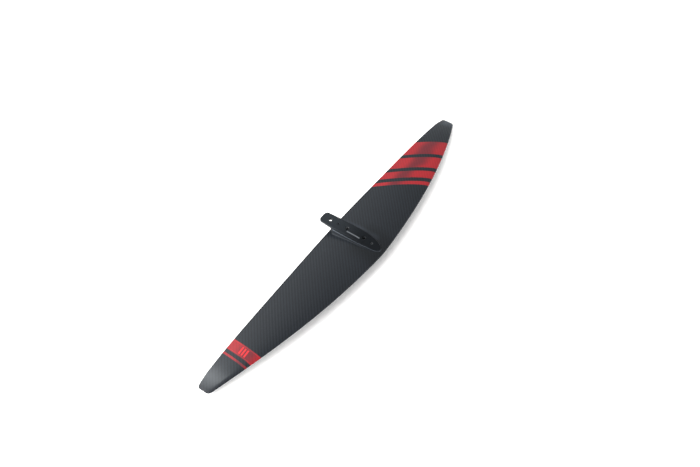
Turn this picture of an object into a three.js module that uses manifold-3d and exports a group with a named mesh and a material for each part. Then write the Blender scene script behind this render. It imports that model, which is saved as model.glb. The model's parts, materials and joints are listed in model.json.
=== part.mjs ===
// Hydrofoil front wing: a slim carbon wing with a boat-shaped mounting boss on top.
// Millimetres. +X to port, -Y forward (leading edge), +Z up.
// The origin is on the boss's flat face, where the fuselage sits.

import * as THREE from 'three';
import { mergeVertices } from 'three/addons/utils/BufferGeometryUtils.js';
import Module from 'manifold-3d';

const wasm = await Module();
wasm.setup();

// ---------------------------------------------------------------- driving dimensions

const HALF_SPAN = 394;
const ROOT_CHORD = 115.6;
const TIP_FRONT_CORNER = 6;               // radii of the tip's corners in plan
const TIP_REAR_CORNER = 4.5;
const TIP_TUCK = 3;                       // the trailing edge curves forward by this at the tip
const TIP_TUCK_LENGTH = 34;
const NOSE_SOFTNESS = 0.02;               // span fraction over which the nose kink is rounded
const LEADING_SWEEP = [21.9, 33.9, 31];   // mm lost at the tip by the 1st, 2nd and 3rd power terms
const TRAILING_SWEEP = [43.9, -68.2, 26]; // mm gained by the 2nd, 3rd and 4th power terms
const DIHEDRAL = [8.1, -35.9];            // mm of rise at the tip by the 2nd and 4th power terms

const ROOT_THICKNESS = 0.125;             // of the chord
const TIP_THICKNESS = 0.1;
const CAMBER = 0.02;
const EDGE_HALF = 0.45;                   // half of the blunt edge's height
const TIP_ROLL = 7;                       // the tip's end is rounded off over this length
const SKIN_ROOT = 1.1;
const SKIN_TIP = 0.8;
const GAP = 0.3;                          // clearance between touching pieces

const FACE_STATION = 24;                  // mm forward of the root trailing edge
const FACE_HEIGHT = 18.3;                 // above the root chord plane

const BOSS_TAIL = -23.6;
const BOSS_NOSE = 108.5;
const BOSS_MID = 40;                      // widest station
const BOSS_HALF_WIDTH = 14;
const BOSS_TAIL_NARROWING = 2;
const BOSS_TAIL_TURN = 6;                 // length of the rounded tail end
const TAIL_ALONG = 2.2;                   // exponents of the tail end's superellipse
const TAIL_ACROSS = 3;
const BOSS_NOSE_ALONG = 4;                // the nose is a superellipse in plan
const BOSS_NOSE_POWER = 0.58;
const BOSS_FLAT_END = 47.7;
const BOSS_FALL = 0.00304;                // mm per mm squared, ahead of the flat
const BOSS_EDGE = 0.9;
const FILLET_TOP = 13.2;                  // height of the ledge at which the wall starts to flare
const FILLET_LEAST = 2;
const FILLET_REACH = 3.2;
const LEDGE = 1;                          // width of the ledge round the wall
const TAB_UNDERSIDE = 12.9;
const TAB_SLOPE = 0.05;                   // the tab thins towards its tail
const TAB_FRONT = 4;                      // the tab is free behind this station
const TAB_ROOT = 9;                       // the boss stands on the wing ahead of this one

const TAIL_HOLE = { station: -4.3, radius: 3.5 };
const BUSH = { station: 14, outer: 2.3, inner: 1.5, depth: 6 };
const MIDDLE_BOLT = 34;
const FRONT_BOLT = 71.8;
const INSERT = { station: 89.4, outer: 2.6, inner: 1.8, depth: 2.6, floor: 0.8 };
const SLEEVE = { bore: 3.3, wall: 4.3, seat: 6.3, flare: 6.9, flareHeight: 3.2 };
const SINK = 0.1;                         // metal pieces lie this far below the surface

const CAP_START = 0.28;                   // fractions of the chord, from the leading edge
const CAP_END = 0.44;
const CAP_ROOT = 0.8;                     // spar cap thickness
const CAP_TIP = 0.3;
const WEB_START = 0.355;
const WEB_END = 0.375;
const CORE_START = 0.085;
const CORE_END = 0.785;
const BLOCK_HALF_WIDTH = 21;
const CORE_REACH = 340;                   // spanwise ends of the inner pieces
const TOW_REACH = 230;
const TIP_BLOCK = { start: 344, end: 380, front: 0.21, back: 0.5 };

const ROUND_SEGMENTS = 24;
const FULL_DEPTH = 60;                    // longer than any cut needs

const COLOURS = {
  carbon: 0x3c3e43,
  boss: 0x35393d,
  unidirectional: 0x222326,
  foam: 0xd8cfae,
  laminate: 0x9fae8a,
  steel: 0xb4b6b8,
};

// ---------------------------------------------------------------- wing surface

const powers = (u, terms, first) => terms.reduce((sum, term, i) => sum + term * u ** (first + i), 0);

const spanFraction = (x) => Math.abs(x) / HALF_SPAN;

const blend = (a, b, t) => a + (b - a) * t;

function smoothStep(low, high, value) {
  const t = Math.min(Math.max((value - low) / (high - low), 0), 1);
  return t * t * (3 - 2 * t);
}

// How far a rounded tip corner cuts into its edge.
function cornerCut(x, radius) {
  const beyond = Math.max(Math.abs(x) - (HALF_SPAN - radius), 0);
  return radius - Math.sqrt(Math.max(radius ** 2 - beyond ** 2, 0));
}

// Both edges are stations: millimetres forward of the root trailing edge.
function leadingEdge(x) {
  const u = spanFraction(x);
  const soft = Math.hypot(u, NOSE_SOFTNESS) - NOSE_SOFTNESS;
  const [first, ...higher] = LEADING_SWEEP;
  return ROOT_CHORD - first * soft - powers(u, higher, 2) - cornerCut(x, TIP_FRONT_CORNER);
}

function trailingEdge(x) {
  const tucked = Math.max(1 - (HALF_SPAN - Math.abs(x)) / TIP_TUCK_LENGTH, 0);
  const swept = powers(spanFraction(x), TRAILING_SWEEP, 2);
  return swept + TIP_TUCK * tucked ** 2 + cornerCut(x, TIP_REAR_CORNER);
}

function chordHeight(x) {
  const u = spanFraction(x);
  return DIHEDRAL[0] * u ** 2 + DIHEDRAL[1] * u ** 4;
}

const skinThickness = (x) => blend(SKIN_ROOT, SKIN_TIP, spanFraction(x));

const capThickness = (x) => blend(CAP_ROOT, CAP_TIP, spanFraction(x));

// Half thickness of a four-digit section at chord fraction v.
function halfThickness(x, v) {
  const chord = leadingEdge(x) - trailingEdge(x);
  const ratio = blend(ROOT_THICKNESS, TIP_THICKNESS, spanFraction(x));
  const shape = 0.2969 * Math.sqrt(v) - 0.126 * v - 0.3516 * v ** 2 + 0.2843 * v ** 3 - 0.1015 * v ** 4;
  const toTip = Math.min((HALF_SPAN - Math.abs(x)) / TIP_ROLL, 1);
  return 5 * ratio * chord * shape * Math.sqrt(1 - (1 - toTip) ** 2);
}

// Height of the wing at (x, v) on side +1 (upper) or -1 (lower), inset below its outer surface.
function wingHeight(x, v, side, inset = 0) {
  const chord = leadingEdge(x) - trailingEdge(x);
  const meanLine = chordHeight(x) + 4 * CAMBER * chord * v * (1 - v);
  const least = inset > 0 ? GAP / 2 : EDGE_HALF;
  return meanLine + side * Math.max(halfThickness(x, v) - inset, least);
}

const stationAt = (x, v) => blend(leadingEdge(x), trailingEdge(x), v);

function fractionAt(x, station) {
  const front = leadingEdge(x);
  return Math.min(Math.max((front - station) / (front - trailingEdge(x)), 0), 1);
}

const surfaceAt = (x, station, side) => wingHeight(x, fractionAt(x, station), side);

// A point given by x, station and height above the root chord plane, in the part's frame.
const point = (x, station, height) => [x, FACE_STATION - station, height - FACE_HEIGHT];

// ---------------------------------------------------------------- mesh helpers

function signedVolume(positions, indices) {
  const [a, b, c] = [new THREE.Vector3(), new THREE.Vector3(), new THREE.Vector3()];
  let volume = 0;
  for (let i = 0; i < indices.length; i += 3) {
    a.fromArray(positions, indices[i] * 3);
    b.fromArray(positions, indices[i + 1] * 3);
    c.fromArray(positions, indices[i + 2] * 3);
    volume += a.dot(b.cross(c)) / 6;
  }
  return volume;
}

function geometryFrom(positions, indices) {
  if (signedVolume(positions, indices) < 0) indices.reverse();
  const geometry = new THREE.BufferGeometry();
  geometry.setAttribute('position', new THREE.Float32BufferAttribute(positions, 3));
  geometry.setIndex(indices);
  return geometry;
}

// A closed solid between two grids of points, top[j][i] and bottom[j][i].
function quilt(top, bottom) {
  const rows = top.length;
  const columns = top[0].length;
  const positions = [...top.flat(2), ...bottom.flat(2)];
  const indices = [];
  const quad = (a, b, c, d) => indices.push(a, b, c, a, c, d);
  const upper = (j, i) => j * columns + i;
  const lower = (j, i) => (rows + j) * columns + i;
  for (let j = 0; j < rows - 1; j += 1) {
    for (let i = 0; i < columns - 1; i += 1) {
      quad(upper(j, i), upper(j, i + 1), upper(j + 1, i + 1), upper(j + 1, i));
      quad(lower(j, i), lower(j + 1, i), lower(j + 1, i + 1), lower(j, i + 1));
    }
    const last = columns - 1;
    quad(upper(j, 0), upper(j + 1, 0), lower(j + 1, 0), lower(j, 0));
    quad(upper(j, last), lower(j, last), lower(j + 1, last), upper(j + 1, last));
  }
  for (let i = 0; i < columns - 1; i += 1) {
    const last = rows - 1;
    quad(upper(0, i), lower(0, i), lower(0, i + 1), upper(0, i + 1));
    quad(upper(last, i), upper(last, i + 1), lower(last, i + 1), lower(last, i));
  }
  return geometryFrom(positions, indices);
}

function toSolid(geometry) {
  const bare = geometry.clone();
  bare.deleteAttribute('normal');
  bare.deleteAttribute('uv');
  const merged = mergeVertices(bare, 1e-5);
  const vertProperties = new Float32Array(merged.attributes.position.array);
  const triVerts = new Uint32Array(merged.index.array);
  return new wasm.Manifold(new wasm.Mesh({ numProp: 3, vertProperties, triVerts }));
}

function cut(geometry, cutters) {
  let solid = toSolid(geometry);
  for (const cutter of cutters) solid = solid.subtract(toSolid(cutter));
  const mesh = solid.getMesh();
  const result = new THREE.BufferGeometry();
  result.setAttribute('position', new THREE.Float32BufferAttribute(mesh.vertProperties, 3));
  result.setIndex([...mesh.triVerts]);
  return result;
}

// A turned solid about the vertical axis at a station on the centreline.
// Its profile is a closed list of [radius, height] corners.
function turned(profile, station) {
  const corners = profile.map(([radius, height]) => new THREE.Vector2(radius, height));
  const geometry = new THREE.LatheGeometry([...corners, corners[0]], ROUND_SEGMENTS);
  geometry.rotateX(Math.PI / 2);
  geometry.translate(...point(0, station, 0));
  geometry.deleteAttribute('normal');
  geometry.deleteAttribute('uv');
  const merged = mergeVertices(geometry, 1e-5);
  const used = [];
  const index = [...merged.index.array];
  for (let i = 0; i < index.length; i += 3) {
    const [a, b, c] = index.slice(i, i + 3);
    if (a !== b && b !== c && c !== a) used.push(a, b, c);
  }
  return geometryFrom([...merged.attributes.position.array], used);
}

function plug(radius, low, high, station) {
  return turned([[0, low], [radius, low], [radius, high], [0, high]], station);
}

// ---------------------------------------------------------------- sampling of the wing

const HALF_STEPS = 17;
const CORNER_STEPS = 4;
const CHORD_STEPS = 12;
const CROWDING = 0.06;                    // how far stations are drawn towards root and tip
const SPAN_MARGIN = 4;                    // least distance from a piece's end to the next station

// Spanwise positions, closer together at the root and the tip and along the tip corners.
const HALF_STATIONS = [];
for (let k = 1; k <= HALF_STEPS; k += 1) {
  const t = k / HALF_STEPS;
  const eased = t - CROWDING * Math.sin(2 * Math.PI * t);
  HALF_STATIONS.push((HALF_SPAN - TIP_FRONT_CORNER) * eased);
}
for (let k = 1; k <= CORNER_STEPS; k += 1) {
  const angle = (k / CORNER_STEPS) * (Math.PI / 2);
  HALF_STATIONS.push(HALF_SPAN - TIP_FRONT_CORNER * (1 - Math.sin(angle)));
}
const SPAN_STATIONS = [...HALF_STATIONS.map((x) => -x).reverse(), 0, ...HALF_STATIONS];

// Chord fractions, closer together at the leading edge.
const CHORD_FRACTIONS = [];
for (let k = 0; k <= CHORD_STEPS; k += 1) {
  CHORD_FRACTIONS.push(1 - Math.cos((k / CHORD_STEPS) * (Math.PI / 2)));
}

// The values of a list between two ends, with the ends added.
function between(values, low, high, margin) {
  return [low, ...values.filter((value) => value > low + margin && value < high - margin), high];
}

// A piece that fills the wing between two spans and two chord fractions.
// topHeight and bottomHeight give its faces at (x, v).
function wingPiece(xs, fractions, topHeight, bottomHeight) {
  const grid = (height) => xs.map((x) => fractions.map((v) => point(x, stationAt(x, v), height(x, v))));
  return quilt(grid(topHeight), grid(bottomHeight));
}

const innerFace = (side, depth) => (x, v) => {
  const inset = skinThickness(x) + GAP + depth(x, v);
  return wingHeight(x, v, side, inset);
};

const noDepth = () => 0;

// The room that a spar cap and its clearance take below the skin.
const CAP_MARGIN = 0.01;
function capRoom(x, v) {
  const underCap = v > CAP_START - CAP_MARGIN && v < CAP_END + CAP_MARGIN;
  return underCap ? capThickness(x) + GAP : 0;
}

// ---------------------------------------------------------------- boss outline

function bossHalfWidth(station) {
  if (station > BOSS_MID) {
    const t = (station - BOSS_MID) / (BOSS_NOSE - BOSS_MID);
    return BOSS_HALF_WIDTH * Math.max(1 - t ** BOSS_NOSE_ALONG, 0) ** BOSS_NOSE_POWER;
  }
  const back = (BOSS_MID - station) / (BOSS_MID - BOSS_TAIL);
  const turn = Math.min(Math.max(1 - (station - BOSS_TAIL) / BOSS_TAIL_TURN, 0), 1);
  const rounded = (1 - turn ** TAIL_ALONG) ** (1 / TAIL_ACROSS);
  return (BOSS_HALF_WIDTH - BOSS_TAIL_NARROWING * back * back) * rounded;
}

const bossTop = (station) => FACE_HEIGHT - BOSS_FALL * Math.max(station - BOSS_FLAT_END, 0) ** 2;

const tabUnderside = (station) => TAB_UNDERSIDE + TAB_SLOPE * (TAB_FRONT - station);

// Height of the boss's underside: the wing's surface, or the free tab behind it.
function bossBase(x, station) {
  const onWing = smoothStep(TAB_FRONT, TAB_ROOT, station);
  const wing = surfaceAt(x, station, 1) + GAP;
  return blend(tabUnderside(station), wing, onWing);
}

// Plan position at distance d outside the boss's outline at a station.
function bossPlan(station, d) {
  const step = 0.05;
  const slope = (bossHalfWidth(station + step) - bossHalfWidth(station - step)) / (2 * step);
  const length = Math.hypot(1, slope);
  return [bossHalfWidth(station) + d / length, station - (d * slope) / length];
}

const CROWN_SHARE = 0.55;                 // place of the flat's middle points across the width
const FULL_SECTION = 5;                   // the rim is scaled down where the nose is narrower
const NOSE_SETBACK = 2;                   // the centre's points stop this far short of the nose
const TOE_HEIGHT = 0.3;                   // of the fillet's thin edge
const TOE_SHARE = 0.45;                   // place of the fillet's middle points across its reach
const FILLET_SAG = 0.7;                   // how far the fillet's middle drops towards its foot
const TAB_LEDGE = 0.05;                   // the free tab's wall leans in by this much
const UNDERSIDE_INSETS = [3.6, 2.4, 1.4, 0.6];  // of the underside's points inside the wall

// Half of a cross-section, from the centre outwards: pairs of [x, station, height].
function bossHalfSection(station) {
  const width = bossHalfWidth(station);
  const scale = station > BOSS_MID ? Math.min(1, width / FULL_SECTION) : 1;
  const edge = BOSS_EDGE * scale;
  const onWing = smoothStep(TAB_FRONT, TAB_ROOT, station);
  const wingTop = surfaceAt(width, station, 1) + GAP;
  const flareTop = Math.max(FILLET_TOP, wingTop + FILLET_LEAST);
  const lowEdge = blend(tabUnderside(station) + BOSS_EDGE, flareTop, onWing);
  const reach = blend(-edge, Math.min(flareTop - wingTop, FILLET_REACH), onWing);
  const rim = bossPlan(station, -edge);
  const wall = bossPlan(station, 0);
  const centreStation = Math.min(rim[1], BOSS_NOSE - NOSE_SETBACK);
  const ledge = bossPlan(station, blend(-TAB_LEDGE, LEDGE, onWing) * scale);
  const middle = bossPlan(station, reach * TOE_SHARE);
  const toe = bossPlan(station, reach);
  const wallTop = bossTop(station) - edge;
  const wallFoot = Math.min(lowEdge, wallTop - edge);
  const ledgeFoot = wallFoot - blend(3 * TAB_LEDGE, LEDGE, onWing) * scale;
  const middleHeight = blend(wallFoot, bossBase(...middle) + TOE_HEIGHT, FILLET_SAG);
  const top = [
    [0, centreStation, bossTop(centreStation)],
    [rim[0] * CROWN_SHARE, centreStation, bossTop(centreStation)],
    [...rim, bossTop(station)],
    [...wall, wallTop],
    [...wall, wallFoot],
    [...ledge, ledgeFoot],
    [...middle, middleHeight],
    [...toe, bossBase(...toe) + TOE_HEIGHT],
  ];
  const insets = UNDERSIDE_INSETS.map((inset) => bossPlan(station, Math.min(reach, 0) - inset * scale));
  const under = [top[0].slice(0, 2), top[1].slice(0, 2), ...insets, middle, toe];
  return top.map((row, i) => ({ top: row, bottom: [...under[i], bossBase(...under[i])] }));
}

const TAIL_STEPS = 6;
const NOSE_STEPS = 15;
const TAIL_FLAT_ANGLE = 0.1;              // radians; the tail end starts as a narrow flat
const TAB_STATIONS = [-10, -3, TAB_FRONT, 5.5, 7.5, TAB_ROOT, 14, 20, 30];

// Stations of the boss, closer together where the outline turns.
function bossStations() {
  const stations = [];
  for (let k = 0; k <= TAIL_STEPS; k += 1) {
    const angle = blend(TAIL_FLAT_ANGLE, Math.PI / 2, k / TAIL_STEPS);
    stations.push(BOSS_TAIL + BOSS_TAIL_TURN * (1 - Math.max(Math.cos(angle), 0) ** (2 / TAIL_ALONG)));
  }
  stations.push(...TAB_STATIONS);
  for (let k = 0; k < NOSE_STEPS; k += 1) {
    const turn = Math.sin((k / NOSE_STEPS) * (Math.PI / 2)) ** 1.1;
    stations.push(BOSS_MID + (BOSS_NOSE - BOSS_MID) * turn);
  }
  return stations;
}

function bossGeometry() {
  const mirror = ([x, station, height]) => [-x, station, height];
  const fullRow = (half, side) => {
    const starboard = half.slice(1).reverse().map((pair) => point(...mirror(pair[side])));
    const port = half.map((pair) => point(...pair[side]));
    return [...starboard, ...port];
  };
  const halves = bossStations().map(bossHalfSection);
  const surface = (side) => halves.map((half) => fullRow(half, side));
  return quilt(surface('top'), surface('bottom'));
}

// ---------------------------------------------------------------- bolts, bush and insert

// Heights of a countersunk sleeve's ends, kept just inside the surfaces around it.
function sleeveEnds(station) {
  const round = (radius) => [station - radius, station, station + radius];
  const top = Math.min(...round(SLEEVE.wall).map(bossTop)) - SINK;
  const bottom = Math.max(...round(SLEEVE.flare).map((s) => surfaceAt(0, s, -1))) + SINK;
  return { top, bottom };
}

function sleeveGeometry(station) {
  const { top, bottom } = sleeveEnds(station);
  const flareEnd = bottom + SLEEVE.flareHeight;
  const seatEnd = bottom + (SLEEVE.seat - SLEEVE.bore);
  return turned([
    [SLEEVE.seat, bottom],
    [SLEEVE.flare, bottom],
    [SLEEVE.wall, flareEnd],
    [SLEEVE.wall, top],
    [SLEEVE.bore, top],
    [SLEEVE.bore, seatEnd],
  ], station);
}

function sleeveCutter(station) {
  const { bottom } = sleeveEnds(station);
  return turned([
    [0, -FULL_DEPTH],
    [SLEEVE.flare + GAP, -FULL_DEPTH],
    [SLEEVE.flare + GAP, bottom + GAP],
    [SLEEVE.wall + GAP, bottom + SLEEVE.flareHeight + GAP],
    [SLEEVE.wall + GAP, FULL_DEPTH],
    [0, FULL_DEPTH],
  ], station);
}

const boltCutters = [MIDDLE_BOLT, FRONT_BOLT].map(sleeveCutter);

function bushGeometry() {
  const { station, inner, outer, depth } = BUSH;
  const top = bossTop(station) - SINK;
  const bottom = top - depth;
  return turned([[inner, bottom], [outer, bottom], [outer, top], [inner, top]], station);
}

// A blind threaded insert with a closed floor.
function insertGeometry() {
  const { station, inner, outer, depth, floor } = INSERT;
  const top = bossTop(station + outer) - SINK;
  const bottom = top - depth;
  return turned([
    [0, bottom],
    [outer, bottom],
    [outer, top],
    [inner, top],
    [inner, bottom + floor],
    [0, bottom + floor],
  ], station);
}

function bossCutters() {
  const bushFloor = bossTop(BUSH.station) - SINK - BUSH.depth - GAP;
  const insertFloor = bossTop(INSERT.station + INSERT.outer) - SINK - INSERT.depth - GAP;
  return [
    ...boltCutters,
    plug(TAIL_HOLE.radius, -FULL_DEPTH, FULL_DEPTH, TAIL_HOLE.station),
    plug(BUSH.outer + GAP, bushFloor, FULL_DEPTH, BUSH.station),
    plug(INSERT.outer + GAP, insertFloor, FULL_DEPTH, INSERT.station),
  ];
}

// ---------------------------------------------------------------- assembly

const wing = new THREE.Group();

function add(name, geometry, colour, roughness, metalness = 0) {
  const material = new THREE.MeshStandardMaterial({ color: colour, roughness, metalness });
  const mesh = new THREE.Mesh(geometry, material);
  mesh.name = name;
  wing.add(mesh);
}

function skin(side) {
  const outer = (x, v) => wingHeight(x, v, side);
  const inner = (x, v) => wingHeight(x, v, side, skinThickness(x));
  return cut(wingPiece(SPAN_STATIONS, CHORD_FRACTIONS, outer, inner), boltCutters);
}

function sparCap(side) {
  const xs = between(SPAN_STATIONS, -CORE_REACH, CORE_REACH, SPAN_MARGIN);
  const fractions = between(CHORD_FRACTIONS, CAP_START, CAP_END, BETWEEN_PIECES);
  const outer = innerFace(side, noDepth);
  const inner = innerFace(side, (x) => capThickness(x));
  return cut(wingPiece(xs, fractions, outer, inner), boltCutters);
}

const STEP_WIDTH = 0.002;                 // chord fractions either side of a step in depth
const BETWEEN_PIECES = 0.01;              // chord fraction left between neighbouring pieces

// Chord fractions from one end to another, doubled where the spar cap's room begins or ends.
function steppedFractions(start, end) {
  const edges = [CAP_START - CAP_MARGIN, CAP_END + CAP_MARGIN];
  const steps = edges.flatMap((v) => [v - STEP_WIDTH, v + STEP_WIDTH]);
  const sorted = [...CHORD_FRACTIONS, ...steps].sort((a, b) => a - b);
  return between(sorted, start, end, STEP_WIDTH * 1.5);
}

// A piece that fills the wing from skin to skin, less the depth given below each skin.
function fillingPiece(xs, fractions, depth) {
  return wingPiece(xs, fractions, innerFace(1, depth), innerFace(-1, depth));
}

const underCaps = (xs, fractions) => fillingPiece(xs, fractions, capRoom);

const filled = (xs, fractions) => fillingPiece(xs, fractions, noDepth);

add('upper_skin', skin(1), COLOURS.carbon, 0.35);
add('lower_skin', skin(-1), COLOURS.carbon, 0.35);
add('mounting_boss', cut(bossGeometry(), bossCutters()), COLOURS.boss, 0.45);
add('spar_cap_upper', sparCap(1), COLOURS.unidirectional, 0.5);
add('spar_cap_lower', sparCap(-1), COLOURS.unidirectional, 0.5);

const blockStations = between(SPAN_STATIONS, -BLOCK_HALF_WIDTH, BLOCK_HALF_WIDTH, SPAN_MARGIN);
const rootBlock = underCaps(blockStations, steppedFractions(CORE_START, CORE_END));
add('root_block', cut(rootBlock, boltCutters), COLOURS.laminate, 0.6);

for (const [sideName, sign] of [['port', 1], ['starboard', -1]]) {
  const span = (from, to) => between(HALF_STATIONS, from, to, SPAN_MARGIN).map((x) => sign * x);
  const coreSpan = span(BLOCK_HALF_WIDTH + GAP, CORE_REACH);
  const towSpan = span(GAP / 2, TOW_REACH);
  const noseFractions = steppedFractions(CORE_START, WEB_START - BETWEEN_PIECES);
  const tailFractions = steppedFractions(WEB_END + BETWEEN_PIECES, CORE_END);
  const [, , towStart, towEnd] = CHORD_FRACTIONS;
  const [fillerStart, fillerEnd] = [CORE_END + BETWEEN_PIECES, CHORD_FRACTIONS.at(-2)];
  const tipSpan = span(TIP_BLOCK.start, TIP_BLOCK.end);
  const tipFractions = between(CHORD_FRACTIONS, TIP_BLOCK.front, TIP_BLOCK.back, BETWEEN_PIECES);
  add(`${sideName}_nose_core`, underCaps(coreSpan, noseFractions), COLOURS.foam, 0.9);
  add(`${sideName}_tail_core`, underCaps(coreSpan, tailFractions), COLOURS.foam, 0.9);
  add(`${sideName}_shear_web`, underCaps(coreSpan, [WEB_START, WEB_END]), COLOURS.unidirectional, 0.5);
  add(`${sideName}_leading_edge_tow`, filled(towSpan, [towStart, towEnd]), COLOURS.unidirectional, 0.5);
  add(`${sideName}_trailing_edge_filler`, filled(towSpan, [fillerStart, fillerEnd]), COLOURS.laminate, 0.6);
  add(`${sideName}_tip_block`, filled(tipSpan, tipFractions), COLOURS.laminate, 0.6);
}

add('middle_bolt_sleeve', sleeveGeometry(MIDDLE_BOLT), COLOURS.steel, 0.35, 0.9);
add('front_bolt_sleeve', sleeveGeometry(FRONT_BOLT), COLOURS.steel, 0.35, 0.9);
add('locating_bush', bushGeometry(), COLOURS.steel, 0.4, 0.9);
add('threaded_insert', insertGeometry(), COLOURS.steel, 0.4, 0.9);

export default wing;
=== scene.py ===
import json
import math

import bmesh
import bpy
import numpy as np
from mathutils import Matrix, Vector


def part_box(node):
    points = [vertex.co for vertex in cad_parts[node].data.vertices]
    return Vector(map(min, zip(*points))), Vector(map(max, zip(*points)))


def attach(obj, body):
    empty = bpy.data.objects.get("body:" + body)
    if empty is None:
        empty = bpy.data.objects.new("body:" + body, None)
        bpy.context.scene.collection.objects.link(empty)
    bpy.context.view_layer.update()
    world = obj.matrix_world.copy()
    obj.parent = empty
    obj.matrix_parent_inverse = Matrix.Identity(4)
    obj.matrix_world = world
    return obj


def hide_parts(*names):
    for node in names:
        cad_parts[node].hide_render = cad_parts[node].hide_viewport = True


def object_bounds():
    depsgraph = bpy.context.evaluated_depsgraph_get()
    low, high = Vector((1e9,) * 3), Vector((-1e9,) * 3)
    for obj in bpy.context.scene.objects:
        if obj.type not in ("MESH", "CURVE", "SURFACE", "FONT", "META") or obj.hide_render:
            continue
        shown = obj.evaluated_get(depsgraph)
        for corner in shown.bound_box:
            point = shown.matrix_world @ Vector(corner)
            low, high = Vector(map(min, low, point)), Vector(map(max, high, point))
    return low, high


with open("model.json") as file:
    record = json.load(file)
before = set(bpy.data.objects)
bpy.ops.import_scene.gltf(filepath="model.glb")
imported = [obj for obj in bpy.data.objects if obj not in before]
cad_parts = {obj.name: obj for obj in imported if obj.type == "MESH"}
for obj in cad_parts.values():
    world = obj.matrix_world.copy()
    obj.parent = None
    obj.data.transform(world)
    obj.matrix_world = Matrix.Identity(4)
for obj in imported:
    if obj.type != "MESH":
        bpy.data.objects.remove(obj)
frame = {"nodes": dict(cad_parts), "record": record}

# Hydrofoil front wing. Lengths in this script are millimetres in the row frame
# (+X to port, -Y forward, +Z up) until a mesh is made, which is in metres.
MM = 0.001
cad_low, cad_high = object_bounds()


def box_mm(node):
    """Lowest and highest corner of a CAD node, in millimetres."""
    low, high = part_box(node)
    return np.array(low) / MM, np.array(high) / MM


# ------------------------------------------------------------------ driving dimensions

skin_low, skin_high = box_mm("upper_skin")
boss_high = box_mm("mounting_boss")[1]
HALF_SPAN = skin_high[0]
ROOT_CHORD = skin_high[1] - skin_low[1]
FACE_STATION = skin_high[1]             # the origin's distance forward of the root trailing edge
FACE_HEIGHT = 18.3                      # the boss's flat face above the root chord plane
TIP_FRONT_CORNER = 6.0
TIP_REAR_CORNER = 4.5
TIP_TUCK = 3.0                          # the trailing edge curves forward by this at the tip
TIP_TUCK_LENGTH = 34.0
# The sweeps and the dihedral are sums of powers of u, which goes from 0 at the root to 1 at the tip.
NOSE_SOFTNESS = 0.02                    # rounds the point where the leading edges meet, as a share of u
LEADING_SWEEP = (21.9, 33.9, 31.0)      # terms in u, u^2 and u^3
TRAILING_SWEEP = (43.9, -68.2, 26.0)    # terms in u^2, u^3 and u^4
DIHEDRAL = (8.1, -35.9)                 # terms in u^2 and u^4
ROOT_THICKNESS = 0.125                  # shares of the chord
TIP_THICKNESS = 0.1
CAMBER = 0.02
# A NACA four-digit section's half thickness: terms in the root of v, in v, v^2, v^3 and v^4.
SECTION = (0.2969, -0.126, -0.3516, 0.2843, -0.1015)
SECTION_SCALE = 5.0
EDGE_HALF = 0.45                        # half the trailing edge's thickness
EDGE_BLEND = (0.5, 0.95)                # chord fractions over which that thickness comes in
TIP_ROLL = 7.0                          # the tip's end is rounded off over this length
SKIN_ROOT = 1.1                         # thickness of the laminate
SKIN_TIP = 0.8

# The boss: stations are millimetres forward of the root trailing edge.
BOSS_TAIL = FACE_STATION - boss_high[1]
BOSS_NOSE = 108.5
BOSS_MID = 40.0
BOSS_HALF_WIDTH = 14.0
BOSS_TAIL_NARROWING = 2.0
BOSS_TAIL_TURN = 6.0
TAIL_ALONG = 2.2
TAIL_ACROSS = 3.0
BOSS_NOSE_ALONG = 4
BOSS_NOSE_POWER = 0.58
BOSS_FLAT_END = 47.7                    # the top falls away ahead of this station
BOSS_FALL = 0.00304
BOSS_EDGE = 0.9                         # radius of the rim
RIM_GAP = 1.2                           # rim radii from the top down to the ledge, at least
FILLET_TOP = 13.2
FILLET_LEAST = 2.0
FILLET_REACH = 3.2
LEDGE = 1.0                             # width of the ledge round the wall
TAB_UNDERSIDE = 12.9
TAB_SLOPE = 0.05
TAB_FRONT = 4.0
TAB_ROOT = 9.0

TAIL_HOLE_STATION = -4.3
TAIL_HOLE_RADIUS = 3.5


# ------------------------------------------------------------------ wing surface

def blend(a, b, t):
    return a + (b - a) * t


def smooth_step(low, high, value):
    t = np.clip((value - low) / (high - low), 0.0, 1.0)
    return t * t * (3.0 - 2.0 * t)


def corner_cut(x, radius):
    """How far a tip corner of this radius takes an edge back."""
    beyond = np.maximum(np.abs(x) - (HALF_SPAN - radius), 0.0)
    return radius - np.sqrt(np.maximum(radius**2 - beyond**2, 0.0))


def leading_edge(x):
    """Station of the leading edge: millimetres forward of the root trailing edge."""
    u = np.abs(x) / HALF_SPAN
    soft = np.hypot(u, NOSE_SOFTNESS) - NOSE_SOFTNESS
    first, second, third = LEADING_SWEEP
    return ROOT_CHORD - first * soft - second * u**2 - third * u**3 - corner_cut(x, TIP_FRONT_CORNER)


def trailing_edge(x):
    """Station of the trailing edge."""
    u = np.abs(x) / HALF_SPAN
    swept = sum(term * u ** (2 + i) for i, term in enumerate(TRAILING_SWEEP))
    tucked = np.clip(1.0 - (HALF_SPAN - np.abs(x)) / TIP_TUCK_LENGTH, 0.0, 1.0)
    return swept + TIP_TUCK * tucked**2 + corner_cut(x, TIP_REAR_CORNER)


def chord_height(x):
    """Height of the chord line: the tips droop."""
    u = np.abs(x) / HALF_SPAN
    return DIHEDRAL[0] * u**2 + DIHEDRAL[1] * u**4


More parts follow.
